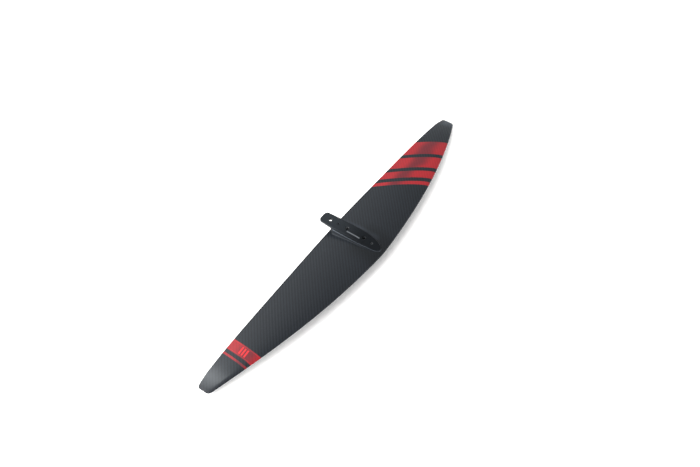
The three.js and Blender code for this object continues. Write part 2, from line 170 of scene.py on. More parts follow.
def half_thickness(x, v):
    """Half the section's thickness at chord fraction v, with both edges and the tip rounded off."""
    chord = leading_edge(x) - trailing_edge(x)
    ratio = blend(ROOT_THICKNESS, TIP_THICKNESS, np.abs(x) / HALF_SPAN)
    shape = SECTION[0] * np.sqrt(v)
    for i, term in enumerate(SECTION[1:]):
        shape = shape + term * v ** (1 + i)
    half = np.maximum(SECTION_SCALE * ratio * chord * shape, 0.0)
    half = np.hypot(half, EDGE_HALF * smooth_step(*EDGE_BLEND, v))
    to_tail = np.clip((1.0 - v) * chord / EDGE_HALF, 0.0, 1.0)
    to_tip = np.clip((HALF_SPAN - np.abs(x)) / TIP_ROLL, 0.0, 1.0)
    round_off = np.sqrt(1 - (1 - to_tail) ** 2) * np.sqrt(1 - (1 - to_tip) ** 2)
    return half * round_off


def wing_height(x, v, side, inset=0.0):
    """Height of the upper (side 1) or lower (side -1) surface, or of a surface inset from it."""
    chord = leading_edge(x) - trailing_edge(x)
    mean_line = chord_height(x) + 4 * CAMBER * chord * v * (1 - v)
    return mean_line + side * np.maximum(half_thickness(x, v) - inset, 0.0)


def surface_at(x, station):
    """Height of the wing's upper surface."""
    front = leading_edge(x)
    v = np.clip((front - station) / (front - trailing_edge(x)), 0.0, 1.0)
    return wing_height(x, v, 1)


def points(x, station, height):
    """Row-frame points in metres from x, station and height above the chord plane."""
    x, station, height = np.broadcast_arrays(x, station, height)
    return np.stack([x, FACE_STATION - station, height - FACE_HEIGHT], axis=-1) * MM


# ------------------------------------------------------------------ mesh helpers

WELD = 2e-6                             # metres
TURN_SEGMENTS = 64
# Edges sharper than these angles, in degrees, stay sharp.
SHARP = 35.0
SKIN_SHARP = 60.0
BOSS_SHARP = 40.0
METAL_SHARP = 25.0


def mesh_object(name, vertices, faces, sharp=SHARP):
    mesh = bpy.data.meshes.new(name)
    mesh.from_pydata([tuple(v) for v in vertices], [], faces)
    build = bmesh.new()
    build.from_mesh(mesh)
    bmesh.ops.remove_doubles(build, verts=build.verts, dist=WELD)
    bmesh.ops.dissolve_degenerate(build, edges=build.edges, dist=WELD)
    bmesh.ops.recalc_face_normals(build, faces=build.faces)
    build.to_mesh(mesh)
    build.free()
    smooth(mesh, sharp)
    piece = bpy.data.objects.new(name, mesh)
    bpy.context.scene.collection.objects.link(piece)
    return piece


def smooth(mesh, angle):
    mesh.polygons.foreach_set("use_smooth", [True] * len(mesh.polygons))
    mesh.set_sharp_from_angle(angle=math.radians(angle))


def grid_solid(name, top, bottom, sharp):
    """A closed solid between two grids of points with the same rows and columns."""
    rows, columns = top.shape[:2]
    vertices = np.concatenate([top.reshape(-1, 3), bottom.reshape(-1, 3)])
    index = np.arange(rows * columns).reshape(rows, columns)
    under = index + rows * columns
    faces = []

    def quads(*corners):
        faces.extend(zip(*(corner.ravel().tolist() for corner in corners)))

    quads(index[:-1, :-1], index[:-1, 1:], index[1:, 1:], index[1:, :-1])
    quads(under[:-1, :-1], under[1:, :-1], under[1:, 1:], under[:-1, 1:])
    quads(index[:-1, 0], index[1:, 0], under[1:, 0], under[:-1, 0])
    quads(index[:-1, -1], under[:-1, -1], under[1:, -1], index[1:, -1])
    quads(index[0, :-1], under[0, :-1], under[0, 1:], index[0, 1:])
    quads(index[-1, :-1], index[-1, 1:], under[-1, 1:], under[-1, :-1])
    return mesh_object(name, vertices, faces, sharp)


def turned(name, profile, centre, sharp=SHARP):
    """A solid of revolution about the vertical line through centre = (x, y), from a closed profile."""
    vertices = []
    faces = []
    count = len(profile)
    for k in range(TURN_SEGMENTS):
        angle = 2 * math.pi * k / TURN_SEGMENTS
        for radius, height in profile:
            x = centre[0] + radius * math.cos(angle)
            y = centre[1] + radius * math.sin(angle)
            vertices.append((x * MM, y * MM, height * MM))
        here = k * count
        after = (k + 1) % TURN_SEGMENTS * count
        for i in range(count):
            n = (i + 1) % count
            faces.append((here + i, here + n, after + n, after + i))
    return mesh_object(name, vertices, faces, sharp)


def cut(piece, cutters, sharp):
    """Subtracts the cutters from a piece and deletes them."""
    for cutter in cutters:
        boolean = piece.modifiers.new("cut", "BOOLEAN")
        boolean.operation = "DIFFERENCE"
        boolean.solver = "EXACT"
        boolean.object = cutter
    graph = bpy.context.evaluated_depsgraph_get()
    result = bpy.data.meshes.new_from_object(piece.evaluated_get(graph))
    piece.modifiers.clear()
    piece.data = result
    smooth(result, sharp)
    for cutter in cutters:
        bpy.data.objects.remove(cutter)


# ------------------------------------------------------------------ bolt bores

def centre_of(node):
    low, high = box_mm(node)
    return (low[:2] + high[:2]) / 2


def height_of(node):
    low, high = box_mm(node)
    return low[2], high[2]


SLEEVES = ("middle_bolt_sleeve", "front_bolt_sleeve")
# Radii of a sleeve: its bore, its outside, the bolt's seat at its foot and the foot's outside.
SLEEVE_BORE = 3.3
SLEEVE_WALL = 4.3
SLEEVE_SEAT = 6.3
SLEEVE_FLARE = 6.9
FLARE_HEIGHT = 3.2
BUSH_RADIUS = 2.3
BUSH_BORE = 1.5
INSERT_RADIUS = 2.6
INSERT_BORE = 1.8
FIT = 0.02                              # visible clearance round an inlaid metal piece
THROUGH = 60.0                          # cutters reach past the piece by this


def sleeve_cutter(node):
    """A cutter for a sleeve and for the bolt's way in below it."""
    bottom = height_of(node)[0]
    profile = [
        (0, bottom - THROUGH),
        (SLEEVE_FLARE + FIT, bottom - THROUGH),
        (SLEEVE_FLARE + FIT, bottom),
        (SLEEVE_WALL + FIT, bottom + FLARE_HEIGHT),
        (SLEEVE_WALL + FIT, THROUGH),
        (0, THROUGH),
    ]
    return turned("cutter", profile, centre_of(node))


def plug(centre, radius, low):
    """A cylindrical cutter from a height upward."""
    profile = [(0, low), (radius, low), (radius, THROUGH), (0, THROUGH)]
    return turned("cutter", profile, centre)


# ------------------------------------------------------------------ wing skins

SPAN_STEPS = 150
CORNER_STEPS = 14
CHORD_STEPS = 64
TAIL_STEPS = 8
TAIL_SHARE = 0.015                      # the last part of the chord, with steps of its own
SPAN_CROWDING = 0.08


def span_positions():
    """Spanwise positions, closer together at the root, at the tip and round the tip corners."""
    t = np.arange(1, SPAN_STEPS + 1) / SPAN_STEPS
    main = (HALF_SPAN - TIP_FRONT_CORNER) * (t - SPAN_CROWDING * np.sin(2 * math.pi * t))
    angle = np.arange(1, CORNER_STEPS + 1) / CORNER_STEPS * math.pi / 2
    corner = HALF_SPAN - TIP_FRONT_CORNER * (1 - np.sin(angle))
    half = np.concatenate([main, corner])
    return np.concatenate([-half[::-1], [0.0], half])


def chord_fractions():
    """Chord fractions, closer together at the leading edge, with a few more at the trailing edge."""
    t = np.arange(CHORD_STEPS + 1) / CHORD_STEPS
    main = (1 - np.cos(t * math.pi / 2)) * (1 - TAIL_SHARE)
    tail_angle = np.arange(1, TAIL_STEPS + 1) / TAIL_STEPS * math.pi / 2
    tail = 1 - TAIL_SHARE * np.cos(tail_angle) ** 2
    return np.concatenate([main, tail])


def wing_skin(name, side):
    """The upper (side 1) or lower (side -1) laminate, cut for the sleeves."""
    x, v = np.meshgrid(span_positions(), chord_fractions(), indexing="ij")
    station = blend(leading_edge(x), trailing_edge(x), v)
    thickness = blend(SKIN_ROOT, SKIN_TIP, np.abs(x) / HALF_SPAN)
    outer = points(x, station, wing_height(x, v, side))
    inner = points(x, station, wing_height(x, v, side, thickness))
    piece = grid_solid(name, outer, inner, SKIN_SHARP)
    cut(piece, [sleeve_cutter(node) for node in SLEEVES], SKIN_SHARP)
    return piece


# ------------------------------------------------------------------ mounting boss

SLOPE_STEP = 0.02                       # the outline's slope is taken over this step each way


def boss_half_width(station):
    t = np.clip((station - BOSS_MID) / (BOSS_NOSE - BOSS_MID), 0.0, 1.0)
    ahead = BOSS_HALF_WIDTH * (1 - t**BOSS_NOSE_ALONG) ** BOSS_NOSE_POWER
    back = np.clip((BOSS_MID - station) / (BOSS_MID - BOSS_TAIL), 0.0, 1.0)
    turn = np.clip(1 - (station - BOSS_TAIL) / BOSS_TAIL_TURN, 0.0, 1.0)
    rounded = (1 - turn**TAIL_ALONG) ** (1 / TAIL_ACROSS)
    behind = (BOSS_HALF_WIDTH - BOSS_TAIL_NARROWING * back**2) * rounded
    return np.where(station > BOSS_MID, ahead, behind)


def boss_top(station):
    return FACE_HEIGHT - BOSS_FALL * np.maximum(station - BOSS_FLAT_END, 0.0) ** 2


def tab_underside(station):
    return TAB_UNDERSIDE + TAB_SLOPE * (TAB_FRONT - station)


def boss_plan(station, d):
    """Plan position at distance d outside the boss's outline."""
    ahead = boss_half_width(station + SLOPE_STEP)
    behind = boss_half_width(station - SLOPE_STEP)
    slope = (ahead - behind) / (2 * SLOPE_STEP)
    length = math.hypot(1.0, slope)
    return boss_half_width(station) + d / length, station - d * slope / length


TOP_POINTS = 8
RIM_POINTS = 6
WALL_POINTS = 4
LEDGE_POINTS = 6
FILLET_POINTS = 12
BASE_POINTS = 8
SINK = 0.04                             # how far the flare's thin edge dips into the skin
BASE_LIFT = 0.02                        # the base's height above the skin
FULL_SECTION = 5.0                      # the rim is scaled down where the nose is narrower
NOSE_SETBACK = 2.0                      # the centre's points stop this far short of the nose


def boss_half_section(station):
    """Points from the centre of the top, over the rim, down the wall and out along the fillet,
    then the matching points of the underside."""
    width = float(boss_half_width(station))
    scale = min(1.0, width / FULL_SECTION) if station > BOSS_MID else 1.0
    edge = BOSS_EDGE * scale
    rim_x, rim_station = boss_plan(station, -edge)
    on_wing = float(smooth_step(TAB_FRONT, TAB_ROOT, station))
    rim_top = float(boss_top(station))
    wing_top = float(surface_at(width, station))
    flare_top = min(max(FILLET_TOP, wing_top + FILLET_LEAST), rim_top - RIM_GAP * edge)
    reach = blend(-edge, min(flare_top - wing_top, FILLET_REACH), on_wing)
    wall_low = blend(float(tab_underside(station)) + edge, flare_top, on_wing)
    ledge = LEDGE * scale * on_wing
    centre_station = min(rim_station, BOSS_NOSE - NOSE_SETBACK)
    top = []
    for k in range(TOP_POINTS):
        t = k / TOP_POINTS
        top.append((rim_x * t, blend(centre_station, rim_station, t), None))
    for k in range(RIM_POINTS + 1):
        angle = k / RIM_POINTS * math.pi / 2
        x, s = boss_plan(station, -edge * (1 - math.sin(angle)))
        top.append((x, s, rim_top - edge * (1 - math.cos(angle))))
    for k in range(1, WALL_POINTS + 1):
        x, s = boss_plan(station, 0.0)
        top.append((x, s, blend(rim_top - edge, wall_low, k / WALL_POINTS)))
    for k in range(1, LEDGE_POINTS + 1):
        angle = k / LEDGE_POINTS * math.pi / 2
        x, s = boss_plan(station, ledge * math.sin(angle))
        top.append((x, s, wall_low - ledge * (1 - math.cos(angle))))
    wall_low -= ledge
    for k in range(1, FILLET_POINTS + 1):
        angle = k / FILLET_POINTS * math.pi / 2
        x, s = boss_plan(station, blend(ledge, reach, 1 - math.cos(angle)))
        low = blend(float(tab_underside(station)), float(surface_at(x, s)) - SINK, on_wing)
        top.append((x, s, blend(wall_low, low, math.sin(angle))))
    top = [(x, s, float(boss_top(s)) if z is None else z) for x, s, z in top]
    end_x, end_station = top[-1][:2]
    bottom = []
    for k in range(1, BASE_POINTS + 1):
        t = 1 - k / BASE_POINTS
        x, s = end_x * t, blend(centre_station, end_station, t)
        wing = float(surface_at(x, s)) + BASE_LIFT
        bottom.append((x, s, blend(float(tab_underside(s)), wing, on_wing)))
    return top, bottom


# Stations of the boss's rings: even along its straight parts, closer where it turns.
RING_STEP = 3.0
TAB_FIRST_RING = -15.0
TAIL_RINGS = 20
TAIL_FIRST_ANGLE = 0.02                 # the first ring is a little ahead of the tail's end
ROOT_RINGS = 14
ROOT_PAST = 1.0                         # the closer rings end this far past the tab's root
NOSE_RINGS = 40


def boss_stations():
    angle = np.linspace(TAIL_FIRST_ANGLE, math.pi / 2, TAIL_RINGS)
    tail = BOSS_TAIL + BOSS_TAIL_TURN * (1 - np.maximum(np.cos(angle), 0.0) ** (2 / TAIL_ALONG))
    tab = np.arange(TAB_FIRST_RING, TAB_FRONT, RING_STEP)
    root_end = TAB_ROOT + ROOT_PAST
    root = np.linspace(TAB_FRONT, root_end, ROOT_RINGS)
    middle = np.arange(root_end + RING_STEP, BOSS_MID, RING_STEP)
    nose_turn = np.arange(NOSE_RINGS) / NOSE_RINGS * math.pi / 2
    nose = BOSS_MID + (BOSS_NOSE - BOSS_MID) * np.sin(nose_turn)
    return np.concatenate([tail, tab, root, middle, nose])


def mounting_boss(name):
    """Lofts closed rings of the boss's section along its length, caps both ends and cuts the holes."""
    rings = []
    for station in boss_stations():
        top, bottom = boss_half_section(float(station))
        port = top + bottom
        starboard = [(-x, s, z) for x, s, z in reversed(port[1:-1])]
        ring = np.array(port + starboard)
        rings.append(points(ring[:, 0], ring[:, 1], ring[:, 2]))
    rings = np.array(rings)
    rows, columns = rings.shape[:2]
    index = np.arange(rows * columns).reshape(rows, columns)
    faces = []
    for j in range(rows - 1):
        for i in range(columns):
            n = (i + 1) % columns
            corners = (index[j, i], index[j, n], index[j + 1, n], index[j + 1, i])
            faces.append(tuple(int(corner) for corner in corners))
    faces.append(tuple(int(i) for i in index[0]))
    faces.append(tuple(int(i) for i in reversed(index[-1])))
    piece = mesh_object(name, rings.reshape(-1, 3), faces, BOSS_SHARP)
    cutters = [sleeve_cutter(node) for node in SLEEVES]
    cutters.append(plug((0.0, FACE_STATION - TAIL_HOLE_STATION), TAIL_HOLE_RADIUS, -THROUGH))
    for node, radius in (("locating_bush", BUSH_RADIUS), ("threaded_insert", INSERT_RADIUS)):
        cutters.append(plug(centre_of(node), radius + FIT, height_of(node)[0]))
    cut(piece, cutters, BOSS_SHARP)
    return piece


# ------------------------------------------------------------------ metal pieces

CHAMFER = 0.25
FLARE_EDGE = 0.1                        # broken edge of a sleeve's foot
INSERT_FLOOR = 0.8                      # thickness of the insert's closed end
THREAD_PITCH = 0.4
THREAD_DEPTH = 0.15


def bolt_sleeve(name, node):
    """A countersunk sleeve with broken edges."""
    bottom, top = height_of(node)
    flare_end = bottom + FLARE_HEIGHT
    seat_end = bottom + SLEEVE_SEAT - SLEEVE_BORE
    profile = [
        (SLEEVE_SEAT, bottom),
        (SLEEVE_FLARE - FLARE_EDGE, bottom),
        (SLEEVE_FLARE, bottom + FLARE_EDGE),
        (SLEEVE_WALL, flare_end),
        (SLEEVE_WALL, top - CHAMFER / 2),
        (SLEEVE_WALL - CHAMFER / 2, top),
        (SLEEVE_BORE + CHAMFER, top),
        (SLEEVE_BORE, top - CHAMFER),
        (SLEEVE_BORE, seat_end),
    ]
    return turned(name, profile, centre_of(node), METAL_SHARP)


def locating_bush(name, node):
    bottom, top = height_of(node)
    profile = [
        (BUSH_BORE, bottom),
        (BUSH_RADIUS, bottom),
        (BUSH_RADIUS, top - CHAMFER / 2),
        (BUSH_RADIUS - CHAMFER / 2, top),
        (BUSH_BORE + CHAMFER, top),
        (BUSH_BORE, top - CHAMFER),
    ]
    return turned(name, profile, centre_of(node), METAL_SHARP)


def threaded_insert(name, node):
    """A blind insert with a few turns of thread drawn as rings."""
    bottom, top = height_of(node)
    floor = bottom + INSERT_FLOOR
    profile = [
        (0.0, bottom),
        (INSERT_RADIUS, bottom),
        (INSERT_RADIUS, top - CHAMFER / 2),
        (INSERT_RADIUS - CHAMFER / 2, top),
        (INSERT_BORE + CHAMFER, top),
    ]
    height = top - CHAMFER
    while height - THREAD_PITCH > floor:
        profile.append((INSERT_BORE, height))
        profile.append((INSERT_BORE + THREAD_DEPTH, height - THREAD_PITCH / 2))
        height -= THREAD_PITCH
    profile.extend([(INSERT_BORE, floor), (0.0, floor)])
    return turned(name, profile, centre_of(node), METAL_SHARP)


# ------------------------------------------------------------------ material helpers

class Nodes:
    """Short names for the shader nodes of one material."""

    def __init__(self, name):
        self.material = bpy.data.materials.new(name)
        self.material.use_nodes = True
        self.tree = self.material.node_tree
        self.shader = self.tree.nodes["Principled BSDF"]

    def new(self, kind, **settings):
        node = self.tree.nodes.new(kind)
        for key, value in settings.items():
            setattr(node, key, value)
        return node

    def feed(self, socket, value):
        if isinstance(value, bpy.types.NodeSocket):
            self.tree.links.new(value, socket)
        else:
            socket.default_value = value

    def math(self, operation, *values):
        node = self.new("ShaderNodeMath", operation=operation)
        for socket, value in zip(node.inputs, values):
            self.feed(socket, value)
        return node.outputs[0]

    def add(self, a, b):
        return self.math("ADD", a, b)

    def subtract(self, a, b):
        return self.math("SUBTRACT", a, b)

    def multiply(self, a, b):
        return self.math("MULTIPLY", a, b)

    def ramp(self, value, low, high, to_low=0.0, to_high=1.0, kind="SMOOTHSTEP"):
        """Goes from to_low to to_high while the value goes from low to high."""
        node = self.new("ShaderNodeMapRange", interpolation_type=kind)
        for socket, number in zip(node.inputs, (value, low, high, to_low, to_high)):
            self.feed(socket, number)
        return node.outputs[0]

    def band(self, value, low, high, edge):
        """1 between low and high, 0 outside, with soft edges."""
        rise = self.ramp(value, low - edge, low + edge)
        fall = self.ramp(value, high - edge, high + edge, 1.0, 0.0)
        return self.multiply(rise, fall)

    def mix(self, factor, a, b):
        """Mixes two colours."""
        node = self.new("ShaderNodeMix", data_type="RGBA")
        self.feed(node.inputs["Factor"], factor)
        self.feed(node.inputs[6], a)
        self.feed(node.inputs[7], b)
        return node.outputs[2]

    def blend(self, factor, a, b):
        """Mixes two numbers."""
        node = self.new("ShaderNodeMix", data_type="FLOAT")
        self.feed(node.inputs["Factor"], factor)
        self.feed(node.inputs[2], a)
        self.feed(node.inputs[3], b)
        return node.outputs[0]

    def position(self):
        """The surface's position in the row frame, in millimetres."""
        coordinates = self.new("ShaderNodeTexCoord").outputs["Object"]
        scaled = self.new("ShaderNodeVectorMath", operation="SCALE")
        self.feed(scaled.inputs[0], coordinates)
        scaled.inputs["Scale"].default_value = 1 / MM
        return scaled.outputs[0]

    def split(self, vector):
        """The x, y and z of a vector."""
        node = self.new("ShaderNodeSeparateXYZ")
        self.feed(node.inputs[0], vector)
        return node.outputs[0], node.outputs[1], node.outputs[2]

    def vector(self, x, y, z=0.0):
        node = self.new("ShaderNodeCombineXYZ")
        for socket, value in zip(node.inputs, (x, y, z)):
            self.feed(socket, value)
        return node.outputs[0]

    def noise(self, vector, scale, detail, roughness=0.5):
        node = self.new("ShaderNodeTexNoise")
        self.feed(node.inputs["Vector"], vector)
        node.inputs["Scale"].default_value = scale
        node.inputs["Detail"].default_value = detail
        node.inputs["Roughness"].default_value = roughness
        return node.outputs["Fac"]

    def bump(self, height, distance_mm):
        node = self.new("ShaderNodeBump")
        node.inputs["Distance"].default_value = distance_mm * MM
        self.feed(node.inputs["Height"], height)
        self.feed(self.shader.inputs["Normal"], node.outputs[0])

    def set(self, **values):
        """Sets or feeds shader sockets: base_color is Base Color, and so on."""
        for key, value in values.items():
            socket = key.replace("_", " ").title().replace("Ior", "IOR")
            self.feed(self.shader.inputs[socket], value)


def srgb(red, green, blue):
    """Linear colour from 0 to 255 screen values."""
    def linear(value):
        value /= 255
        return value / 12.92 if value <= 0.04045 else ((value + 0.055) / 1.055) ** 2.4

    return (linear(red), linear(green), linear(blue), 1.0)


WHITE = (1.0, 1.0, 1.0, 1.0)
COOL = (0.82, 0.92, 1.0, 1.0)           # tint of the reflections on the lacquer
NOISE_RANGE = (0.3, 0.7)                # most of a noise's values lie in here


# ------------------------------------------------------------------ carbon and graphics

TOW = 1.88                              # width of one tow of the twill
WEAVE_TURN = math.radians(-4)           # the cloth is laid a little off the span
REPEAT = 4.0                            # tows in one repeat of the pattern
FLOAT = 2.0                             # tows that a tow passes over
CROWN_SHARE = 0.55                      # of a tow's height, from its round section and not its arch
FIBRES = 14.0                           # streaks across one tow
STREAK_RATE = 0.5                       # streaks along one tow's width
# Warp tows are painted lighter than weft tows: a painted reflection of how the crossing fibres catch the
# light.
WARP_LIT_TONE = 0.7
WEFT_SHADED_TONE = 0.26
FIBRE_CONTRAST = 0.3
TOW_CONTRAST = 0.12
WEFT_NUMBERS = 500.0                    # keeps the weft tows' numbers apart from the warp's
CREVICE_HEIGHT = 0.5                    # below this height the tone falls towards the crevices
CREVICE_TONE = 0.55


def twill(n, x, y):
    """2x2 twill: returns (tone from 0 to 1, height from 0 to 1)."""
    along_x = n.add(n.multiply(x, math.cos(WEAVE_TURN) / TOW), n.multiply(y, math.sin(WEAVE_TURN) / TOW))
    along_y = n.add(n.multiply(x, -math.sin(WEAVE_TURN) / TOW), n.multiply(y, math.cos(WEAVE_TURN) / TOW))
    column = n.math("FLOOR", along_x)
    row = n.math("FLOOR", along_y)
    phase = n.math("FLOORED_MODULO", n.subtract(column, row), REPEAT)
    warp = n.math("LESS_THAN", phase, FLOAT - 0.5)
    across_warp = n.subtract(n.math("FRACT", along_x), 0.5)
    across_weft = n.subtract(n.math("FRACT", along_y), 0.5)
    across = n.blend(warp, across_weft, across_warp)
    crown = n.subtract(1.0, n.multiply(n.multiply(across, across), 4.0))
    run_warp = n.math("FLOORED_MODULO", n.add(n.subtract(column, along_y), 1.0), REPEAT)
    run_weft = n.math("FLOORED_MODULO", n.subtract(n.subtract(along_x, row), FLOAT), REPEAT)
    run = n.multiply(n.blend(warp, run_weft, run_warp), 1 / FLOAT)
    arch = n.math("SINE", n.multiply(run, math.pi))
    height = n.add(n.multiply(crown, CROWN_SHARE), n.multiply(arch, 1 - CROWN_SHARE))
    fibre_warp = n.vector(n.multiply(along_x, FIBRES), n.multiply(along_y, STREAK_RATE))
    fibre_weft = n.vector(n.multiply(along_x, STREAK_RATE), n.multiply(along_y, FIBRES))
    fibre = n.blend(
        warp,
        n.noise(fibre_weft, scale=1.0, detail=2.0),
        n.noise(fibre_warp, scale=1.0, detail=2.0),
    )
    tow_number = n.blend(warp, n.add(row, WEFT_NUMBERS), column)
    tow_noise = n.new("ShaderNodeTexWhiteNoise", noise_dimensions="1D")
    n.feed(tow_noise.inputs["W"], tow_number)
    # Painted reflection: the warp tows take the lighter tone.
    tone = n.blend(warp, WEFT_SHADED_TONE, WARP_LIT_TONE)
    tone = n.add(tone, n.multiply(n.subtract(fibre, 0.5), FIBRE_CONTRAST))
    tone = n.add(tone, n.multiply(n.subtract(tow_noise.outputs[0], 0.5), TOW_CONTRAST))
    tone = n.multiply(tone, n.ramp(height, 0.0, CREVICE_HEIGHT, CREVICE_TONE, 1.0))
    return tone, height


CARBON_DARK = srgb(18, 19, 21)
CARBON_LIGHT = srgb(36, 38, 42)
CLOTH_DRIFT = (0.88, 1.1)               # the cloth's tone drifts between these shares
CLOTH_ROUGHNESS = (0.44, 0.4)           # of dark and light fibre
# Painted light and shade on the upper skin: from and to in x or y, then their shares and colours.
SHEEN_RISE = (12.0, 16.0)               # x, of the painted sheen on the port side of the boss
SHEEN_FALL = (19.0, 29.0)
SHEEN_ALONG = (FACE_STATION - BOSS_NOSE + 18.0, FACE_STATION - 8.0)
SHEEN_EDGE = 8.0
SHADE_ACROSS = (18.0, 52.0)             # distance from the centreline, of the painted shade round the boss's nose
SHADE_ALONG = (-45.0, -20.0)
TIP_OUT = (366.0, 382.0)                # x, of the painted highlight at the port tip
TIP_BACK = (8.0, 16.0)
# Shares and colours of the painted sheen, the painted shade and the painted highlight.
PAINTED_SHEEN = (0.45, srgb(66, 70, 77))
PAINTED_NOSE_SHADE = (0.6, srgb(9, 10, 11))
PAINTED_TIP_HIGHLIGHT = (0.5, srgb(58, 61, 67))
INK = srgb(166, 31, 36)
INK_DEEP = srgb(112, 31, 37)
INK_BRIGHT = srgb(225, 38, 42)

# Port graphics: slanted bars that narrow towards the root. Each has the x where it starts and its width.
PORT_BARS = ((256.0, 49.0), (207.0, 37.0), (172.0, 23.0), (149.0, 11.0))
BAR_SLANT = 0.7                         # mm outboard for each mm forward
BAR_MIDDLE = 38.0                       # station about which the bars are slanted
# Starboard graphics: a wide band and a thin stripe. Each has the place where it starts and its width.
BAND = (295.4, 20.8)
STRIPE = (322.9, 3.8)
BAND_SLANT = 0.055
BAND_MIDDLE = 30.0
EDGE_LINE = 0.7                         # bright lines just inside the band's edges
EDGE_INSET = 1.4
# Three short ticks across the middle of the band, by the station where each starts.
TICKS = (28.5, 34.5, 40.5)
TICK_WIDTH = 3.2
TICK_REACH = (3.6, 17.4)                # from and to, across the band
LINE_SHARE = 0.5                        # how bright the lines are beside the ticks
BRIGHT_SHARE = 0.9
PRINT_EDGE = 0.12
# The weave shows through the print where it is dark.
WEAVE_TONES = (0.15, 0.85)
WEAVE_SHARES = (0.2, 0.0)
# The red is deepest along the middle of the wing's chord.
FADE_MIDDLE = 42.0
FADE_CORE = 2.0
FADE_REACH = 22.0
FADE_DRIFT = 30.0


def port_bars(n, x, station):
    """The slanted bars of the port side."""
    leaning = n.subtract(x, n.multiply(n.subtract(station, BAR_MIDDLE), BAR_SLANT))
    bars = 0.0
    for start, width in PORT_BARS:
        bars = n.add(bars, n.band(leaning, start, start + width, PRINT_EDGE))
    return bars


def starboard_band(n, x, station):
    """The starboard band and stripe, and the bright lines and ticks on the band."""
    lean = n.add(n.multiply(x, -1.0), n.multiply(n.subtract(station, BAND_MIDDLE), -BAND_SLANT))
    across = n.subtract(lean, BAND[0])
    width = BAND[1]
    band = n.band(across, 0.0, width, PRINT_EDGE)
    stripe = n.band(lean, STRIPE[0], STRIPE[0] + STRIPE[1], PRINT_EDGE)
    inner_line = n.band(across, EDGE_INSET, EDGE_INSET + EDGE_LINE, PRINT_EDGE)
    outer_line = n.band(across, width - EDGE_INSET - EDGE_LINE, width - EDGE_INSET, PRINT_EDGE)
    ticks = 0.0
    for start in TICKS:
        ticks = n.add(ticks, n.band(station, start, start + TICK_WIDTH, PRINT_EDGE))
    ticks = n.multiply(ticks, n.band(across, *TICK_REACH, PRINT_EDGE))
    lines = n.multiply(n.add(inner_line, outer_line), LINE_SHARE)
    return n.add(band, stripe), n.add(lines, ticks)


def printed_ink(n, vector, x, y, tone, carbon):
    """Translucent red print over the carbon: the weave shows through, and the red fades unevenly."""
    station = n.subtract(FACE_STATION, y)
    starboard, bright = starboard_band(n, x, station)
    printed = n.add(port_bars(n, x, station), starboard)
    drift = n.multiply(n.subtract(n.noise(vector, scale=0.02, detail=1.0), 0.5), FADE_DRIFT)
    middle = n.add(n.subtract(station, FADE_MIDDLE), drift)
    fade = n.ramp(n.math("ABSOLUTE", middle), FADE_CORE, FADE_REACH)
    ink = n.mix(fade, INK_DEEP, INK)
    ink = n.mix(n.ramp(tone, *WEAVE_TONES, *WEAVE_SHARES, "LINEAR"), ink, CARBON_DARK)
    ink = n.mix(n.multiply(bright, BRIGHT_SHARE), ink, INK_BRIGHT)
    return n.mix(printed, carbon, ink)


def painted_light_and_shade(n, x, y, colour):
    """Painted sheen on the port side of the boss, painted shade round its nose and a painted highlight at
    the port tip.
    """
    centre_distance = n.math("ABSOLUTE", x)
    # Painted sheen: a lighter band on the port side of the boss.
    sheen_mask = n.multiply(n.ramp(x, *SHEEN_RISE), n.ramp(x, *SHEEN_FALL, 1.0, 0.0))
    sheen_mask = n.multiply(sheen_mask, n.band(y, *SHEEN_ALONG, SHEEN_EDGE))
    # Painted shade: darker carbon round the boss's nose.
    nose_shade_mask = n.multiply(
        n.ramp(centre_distance, *SHADE_ACROSS, 1.0, 0.0),
        n.ramp(y, *SHADE_ALONG, 1.0, 0.0),
    )
    # Painted highlight: a lighter colour at the port tip's end.
    tip_highlight_mask = n.multiply(n.ramp(x, *TIP_OUT), n.ramp(y, *TIP_BACK, 1.0, 0.0))
    for mask, (share, tint) in ((sheen_mask, PAINTED_SHEEN), (nose_shade_mask, PAINTED_NOSE_SHADE), (tip_highlight_mask, PAINTED_TIP_HIGHLIGHT)):
        colour = n.mix(n.multiply(mask, share), colour, tint)
    return colour


def carbon_twill(name, printed):
    """Lacquered twill; the upper skin's also has the painted light and shade and the print."""
    n = Nodes(name)
    vector = n.position()
    x, y = n.split(vector)[:2]
    tone, height = twill(n, x, y)
    drift = n.noise(vector, scale=0.012, detail=2.0)
    tone = n.multiply(tone, n.ramp(drift, *NOISE_RANGE, *CLOTH_DRIFT, "LINEAR"))
    colour = n.mix(tone, CARBON_DARK, CARBON_LIGHT)
    if printed:
        colour = painted_light_and_shade(n, x, y, colour)
        colour = printed_ink(n, vector, x, y, tone, colour)
    n.set(base_color=colour, roughness=n.blend(tone, *CLOTH_ROUGHNESS), specular_ior_level=0.12)
    n.set(specular_tint=COOL, coat_weight=0.85, coat_roughness=0.2, coat_ior=1.5, coat_tint=COOL)
    n.bump(height, distance_mm=0.022)
    return n.material


# ------------------------------------------------------------------ other materials

# The boss's colours come in pairs, of its nose and of its tail, and fade between these y: the darker nose
# is painted shade.
BOSS_SHADE_FADE = (-50.0, 34.0)
BOSS_DARK = (srgb(14, 16, 19), srgb(35, 38, 41))
BOSS_LIGHT = (srgb(20, 22, 25), srgb(41, 45, 49))
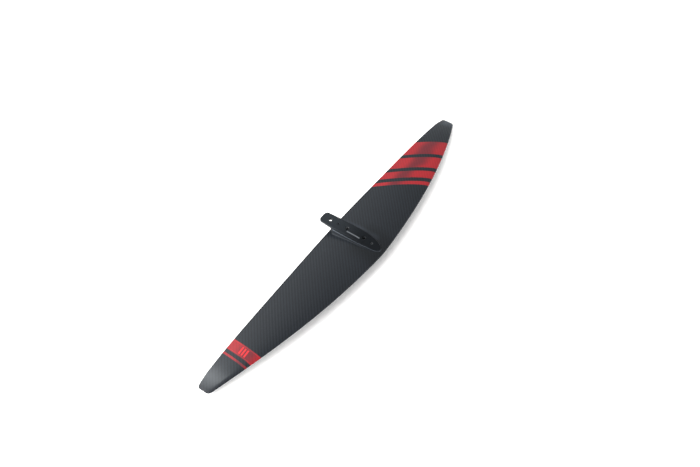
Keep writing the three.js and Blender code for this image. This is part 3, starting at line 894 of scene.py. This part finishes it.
# Painted highlights: the wall's foot and the ledge are painted lighter than the rest of the boss.
BOSS_FOOT_HIGHLIGHT = (srgb(24, 26, 29), srgb(50, 53, 57))
BOSS_LEDGE_HIGHLIGHT = (srgb(66, 71, 78), srgb(116, 122, 130))
BOSS_ROUGHNESS = (0.3, 0.4)
FLECK_SHARE = 0.35                      # of the tone, from fine flecks; the rest drifts slowly
LEDGE_START = 8.0                       # station where the painted highlights of the ledge and the foot start
LEDGE_FADE = 4.0
LEDGE_SOFT = 0.15                       # soft edges of the painted highlight on the ledge
FOOT_HIGHLIGHT_RISE = (LEDGE / 2, LEDGE * 1.5)    # depth below the ledge's top over which the painted highlight of the foot comes in
# A plain light bar on the boss's flat face.
BAR_FROM = 37.5                         # stations
BAR_TO = 66.0
BAR_X = -6.0
BAR_WIDTH = 2.4
BAR_COLOUR = srgb(94, 97, 101)


def moulded_carbon(name):
    """Smooth moulded surface with painted shade darker towards the nose, painted highlights on the ledge
    and the wall's foot, and a plain light bar.
    """
    n = Nodes(name)
    vector = n.position()
    x, y, z = n.split(vector)
    fleck = n.noise(vector, scale=1.6, detail=4.0, roughness=0.7)
    drift = n.noise(vector, scale=0.06, detail=2.0)
    tone = n.add(n.multiply(fleck, FLECK_SHARE), n.multiply(drift, 1 - FLECK_SHARE))
    # Painted shade: all the boss's colours darken towards its nose.
    along = n.ramp(y, *BOSS_SHADE_FADE)
    colour = n.mix(tone, n.mix(along, *BOSS_DARK), n.mix(along, *BOSS_LIGHT))
    # Painted highlights: a lighter foot below the ledge, then a light band on the ledge itself.
    past_flat = n.math("MAXIMUM", n.subtract(FACE_STATION - BOSS_FLAT_END, y), 0.0)
    face = n.multiply(n.multiply(past_flat, past_flat), -BOSS_FALL)
    ledge_top = n.math("MINIMUM", n.subtract(face, RIM_GAP * BOSS_EDGE), FILLET_TOP - FACE_HEIGHT)
    below = n.subtract(ledge_top, z)
    ledge_y = FACE_STATION - LEDGE_START
    on_wing = n.ramp(y, ledge_y - LEDGE_FADE, ledge_y, 1.0, 0.0)
    foot = n.multiply(on_wing, n.ramp(below, *FOOT_HIGHLIGHT_RISE))
    colour = n.mix(foot, colour, n.mix(along, *BOSS_FOOT_HIGHLIGHT))
    ledge = n.band(below, LEDGE * LEDGE_SOFT, LEDGE * (1 - LEDGE_SOFT), LEDGE_SOFT)
    colour = n.mix(n.multiply(on_wing, ledge), colour, n.mix(along, *BOSS_LEDGE_HIGHLIGHT))
    bar = n.band(x, BAR_X - BAR_WIDTH / 2, BAR_X + BAR_WIDTH / 2, PRINT_EDGE)
    bar = n.multiply(bar, n.band(y, FACE_STATION - BAR_TO, FACE_STATION - BAR_FROM, PRINT_EDGE))
    bar = n.multiply(bar, n.ramp(n.subtract(z, face), -BOSS_EDGE, -BOSS_EDGE / 2))
    colour = n.mix(bar, colour, BAR_COLOUR)
    n.set(base_color=colour, specular_ior_level=0.2, specular_tint=COOL)
    n.set(roughness=n.ramp(fleck, *NOISE_RANGE, *BOSS_ROUGHNESS, "LINEAR"))
    n.bump(fleck, distance_mm=0.02)
    return n.material


BLACK_LOW = srgb(58, 61, 65)            # the two tones of the blackened steel
BLACK_HIGH = srgb(84, 88, 92)
STEEL_LOW = srgb(92, 95, 99)            # the two tones of the plain steel
STEEL_HIGH = srgb(134, 137, 141)
# Painted highlights on the upper walls of the two sleeves' bores, middle and front.
SLEEVE_BORE_HIGHLIGHT = (srgb(205, 208, 212), srgb(120, 123, 127))
HIGHLIGHT_DEPTH = 3.2                      # the painted highlight covers the top of a sleeve's bore, down to this depth
HIGHLIGHT_FADE = 1.0
UPRIGHT = (0.5, 0.8)                    # a wall is upright while its normal's z is below these
TURNED_ROUGHNESS = (0.25, 0.42)
TURNED_ACROSS = 0.4                     # the tool marks are long round the axis and close along it
TURNED_ALONG = 9.0


def turned_metal(name, dark, light, bore=None):
    """Turned metal; a bore colour is a painted highlight that leaves the top of the hole's wall bright
    under a dark rim.
    """
    n = Nodes(name)
    x, y, z = n.split(n.position())
    across = (n.multiply(x, TURNED_ACROSS), n.multiply(y, TURNED_ACROSS))
    rings = n.noise(n.vector(*across, n.multiply(z, TURNED_ALONG)), scale=1.0, detail=3.0)
    colour = n.mix(rings, dark, light)
    if bore:
        # Painted highlight on the bore's upright walls near the top.
        normal = n.new("ShaderNodeNewGeometry").outputs["Normal"]
        upright = n.ramp(n.math("ABSOLUTE", n.split(normal)[2]), *UPRIGHT, 1.0, 0.0)
        upright = n.multiply(upright, n.ramp(z, -HIGHLIGHT_DEPTH - HIGHLIGHT_FADE, -HIGHLIGHT_DEPTH))
        colour = n.mix(upright, colour, bore)
    n.set(base_color=colour, metallic=1.0)
    n.set(roughness=n.ramp(rings, *NOISE_RANGE, *TURNED_ROUGHNESS, "LINEAR"))
    n.bump(rings, distance_mm=0.02)
    return n.material


def fibre_lay(name, dark, light, stretch, roughness):
    """Inner laminates: streaks along the span, longer where stretch is smaller."""
    n = Nodes(name)
    x, y, z = n.split(n.position())
    streak = n.noise(n.vector(n.multiply(x, stretch), y, z), scale=1.4, detail=4.0, roughness=0.6)
    n.set(base_color=n.mix(streak, dark, light), roughness=roughness)
    n.bump(streak, distance_mm=0.05)
    return n.material


FOAM_DARK = srgb(190, 180, 146)
FOAM_LIGHT = srgb(226, 217, 186)
FOAM_CELLS = 2.2                        # cells per millimetre


def foam_material(name):
    n = Nodes(name)
    cells = n.new("ShaderNodeTexVoronoi")
    n.feed(cells.inputs["Vector"], n.position())
    cells.inputs["Scale"].default_value = FOAM_CELLS
    depth = cells.outputs["Distance"]
    n.set(base_color=n.mix(depth, FOAM_DARK, FOAM_LIGHT), roughness=0.9)
    n.bump(depth, distance_mm=0.15)
    return n.material


FLOOR_DARK = (0.94, 0.93, 0.92, 1.0)
FLOOR_LIGHT = (0.96, 0.95, 0.94, 1.0)
FLOOR_GLOW = 0.2


def floor_material(name):
    """A pale matt floor whose slight glow lightens the shadow."""
    n = Nodes(name)
    grain = n.noise(n.position(), scale=0.01, detail=3.0)
    n.set(base_color=n.mix(grain, FLOOR_DARK, FLOOR_LIGHT), roughness=0.8)
    n.set(emission_color=WHITE, emission_strength=FLOOR_GLOW)
    return n.material


# ------------------------------------------------------------------ pieces

def place(piece, material, slot, *nodes):
    """Gives a piece its material, and puts it on the body in place of its CAD nodes."""
    piece.data.materials.clear()
    piece.data.materials.append(material)
    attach(piece, "root")
    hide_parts(*nodes)


steel = turned_metal("stainless_steel", STEEL_LOW, STEEL_HIGH)
blackened = turned_metal("blackened_steel", BLACK_LOW, BLACK_HIGH)
upper_skin = wing_skin("upper_skin_shell", 1)
place(upper_skin, carbon_twill("carbon_twill_printed", True), "carbon_twill", "upper_skin")
lower_skin = wing_skin("lower_skin_shell", -1)
place(lower_skin, carbon_twill("carbon_twill_plain", False), "carbon_twill", "lower_skin")
boss = mounting_boss("boss_moulding")
place(boss, moulded_carbon("moulded_carbon"), "moulded_carbon", "mounting_boss")
for node, bore in zip(SLEEVES, SLEEVE_BORE_HIGHLIGHT):
    metal = turned_metal(node + "_steel", BLACK_LOW, BLACK_HIGH, bore)
    place(bolt_sleeve(node + "_turned", node), metal, "stainless_steel", node)
bush = locating_bush("locating_bush_turned", "locating_bush")
place(bush, blackened, "stainless_steel", "locating_bush")
insert = threaded_insert("threaded_insert_turned", "threaded_insert")
place(insert, steel, "stainless_steel", "threaded_insert")

# The pieces inside keep their CAD meshes.
INNER_MATERIALS = {
    "unidirectional_carbon": fibre_lay(
        "unidirectional_carbon",
        dark=srgb(18, 18, 20),
        light=srgb(52, 53, 56),
        stretch=0.05,
        roughness=0.45,
    ),
    "glass_laminate": fibre_lay(
        "glass_laminate",
        dark=srgb(128, 142, 104),
        light=srgb(172, 184, 148),
        stretch=0.4,
        roughness=0.55,
    ),
    "foam_core": foam_material("foam_core"),
}
for subpart in frame["record"]["subparts"]:
    material = INNER_MATERIALS.get(subpart["material_slot"])
    if material:
        node_object = frame["nodes"][subpart["node"]]
        for material_slot in node_object.material_slots:
            material_slot.material = material


# ------------------------------------------------------------------ floor, light and camera

def sun(name, direction, spread, strength):
    """A distant soft light from a direction, which the lacquer doesn't mirror; spread is in degrees."""
    light = bpy.data.lights.new(name, "SUN")
    light.angle = math.radians(spread)
    light.energy = strength
    lamp = bpy.data.objects.new(name, light)
    lamp.rotation_euler = Vector(direction).to_track_quat("Z", "Y").to_euler()
    lamp.visible_glossy = False
    bpy.context.scene.collection.objects.link(lamp)


FLOOR_DROP = 19.0                       # the floor lies a little below the tips
FLOOR_LEVEL = cad_low[2] / MM - FLOOR_DROP
FLOOR_HALF = 12000.0
BACKDROP_RADIUS = 11000.0
BACKDROP_HEIGHT = 9000.0
BACKDROP_SIDES = 64


def make_floor():
    quarters = ((-1, -1), (1, -1), (1, 1), (-1, 1))
    corners = [(x * FLOOR_HALF, y * FLOOR_HALF, FLOOR_LEVEL) for x, y in quarters]
    floor = mesh_object("floor", np.array(corners) * MM, [(0, 1, 2, 3)])
    floor.data.materials.append(floor_material("pale_floor"))


def make_backdrop():
    """A white wall round the floor that only the camera sees: it gives no light and isn't mirrored."""
    angles = np.linspace(0.0, 2 * math.pi, BACKDROP_SIDES, endpoint=False)
    corners = []
    for height in (FLOOR_LEVEL, FLOOR_LEVEL + BACKDROP_HEIGHT):
        for angle in angles:
            corners.append((BACKDROP_RADIUS * math.cos(angle), BACKDROP_RADIUS * math.sin(angle), height))
    faces = []
    for i in range(BACKDROP_SIDES):
        after = (i + 1) % BACKDROP_SIDES
        faces.append((i, after, after + BACKDROP_SIDES, i + BACKDROP_SIDES))
    wall = mesh_object("backdrop", np.array(corners) * MM, faces)
    white = Nodes("backdrop_white")
    white.set(emission_color=WHITE, emission_strength=1.0)
    wall.data.materials.append(white.material)
    wall.visible_diffuse = False
    wall.visible_glossy = False
    wall.visible_shadow = False


SOFTBOX_COLOUR = (0.92, 0.97, 1.0)


def softbox(name, position, target, along, size, power):
    """A rectangular area light that faces a target, its long side lying along a direction; in metres."""
    light = bpy.data.lights.new(name, "AREA")
    light.shape = "RECTANGLE"
    light.size, light.size_y = size
    light.energy = power
    light.color = SOFTBOX_COLOUR
    facing = (Vector(position) - Vector(target)).normalized()
    across = Vector(along).cross(facing).normalized()
    lamp = bpy.data.objects.new(name, light)
    axes = Matrix((across, facing.cross(across), facing)).transposed()
    lamp.matrix_world = Matrix.Translation(position) @ axes.to_4x4()
    lamp.visible_camera = False
    bpy.context.scene.collection.objects.link(lamp)


WORLD_BRIGHT_SIDE = (-0.5, 0.82, 0.28)  # the studio is brightest behind the wing
WORLD_DIM = 0.42
WORLD_BRIGHT = 3.6
WORLD_POWER = 3.0                       # how fast it dims away from there


def make_world():
    world = bpy.data.worlds.new("studio")
    bpy.context.scene.world = world
    world.use_nodes = True
    tree = world.node_tree
    direction = tree.nodes.new("ShaderNodeTexCoord").outputs["Generated"]
    along = tree.nodes.new("ShaderNodeVectorMath")
    along.operation = "DOT_PRODUCT"
    along.inputs[1].default_value = Vector(WORLD_BRIGHT_SIDE).normalized()
    tree.links.new(direction, along.inputs[0])
    share = tree.nodes.new("ShaderNodeMapRange")
    tree.links.new(along.outputs["Value"], share.inputs["Value"])
    steep = tree.nodes.new("ShaderNodeMath")
    steep.operation = "POWER"
    steep.inputs[1].default_value = WORLD_POWER
    tree.links.new(share.outputs["Result"], steep.inputs[0])
    strength = tree.nodes.new("ShaderNodeMapRange")
    strength.inputs["To Min"].default_value = WORLD_DIM
    strength.inputs["To Max"].default_value = WORLD_BRIGHT
    tree.links.new(steep.outputs[0], strength.inputs["Value"])
    background = tree.nodes["Background"]
    background.inputs["Color"].default_value = WHITE
    tree.links.new(strength.outputs["Result"], background.inputs["Strength"])


CAMERA_PLACE = (-796.5, -630.6, 1213.5)
CAMERA_AZIMUTH = -52.35                 # degrees
CAMERA_ELEVATION = 50.59
CAMERA_ROLL = -2.73
CAMERA_LENS = 43.6
CAMERA_SENSOR = 36.0                    # wide
CAMERA_NEAR = 0.01                      # metres


def make_camera():
    azimuth, elevation, roll = (math.radians(a) for a in (CAMERA_AZIMUTH, CAMERA_ELEVATION, CAMERA_ROLL))
    back = Vector((
        math.sin(azimuth) * math.cos(elevation),
        -math.cos(azimuth) * math.cos(elevation),
        math.sin(elevation),
    ))
    right = Vector((math.cos(azimuth), math.sin(azimuth), 0.0))
    right = Matrix.Rotation(roll, 3, back) @ right
    up = back.cross(right)
    camera = bpy.data.objects.new("camera", bpy.data.cameras.new("camera"))
    rotation = Matrix((right, up, back)).transposed().to_4x4()
    camera.matrix_world = Matrix.Translation(Vector(CAMERA_PLACE) * MM) @ rotation
    camera.data.lens = CAMERA_LENS
    camera.data.sensor_width = CAMERA_SENSOR
    camera.data.clip_start = CAMERA_NEAR
    bpy.context.scene.collection.objects.link(camera)
    bpy.context.scene.camera = camera


make_floor()
make_backdrop()
make_world()
softbox(
    "strip",
    position=(-0.81, 1.06, 1.88),
    target=(-0.37, 0.0, 0.0),
    along=(0.31, 0.86, -0.41),
    size=(0.27, 1.5),
    power=6.7,
)
sun("key", direction=(-0.54, -0.14, 0.92), spread=19.0, strength=2.9)
make_camera()
bpy.context.scene.view_settings.view_transform = "Standard"
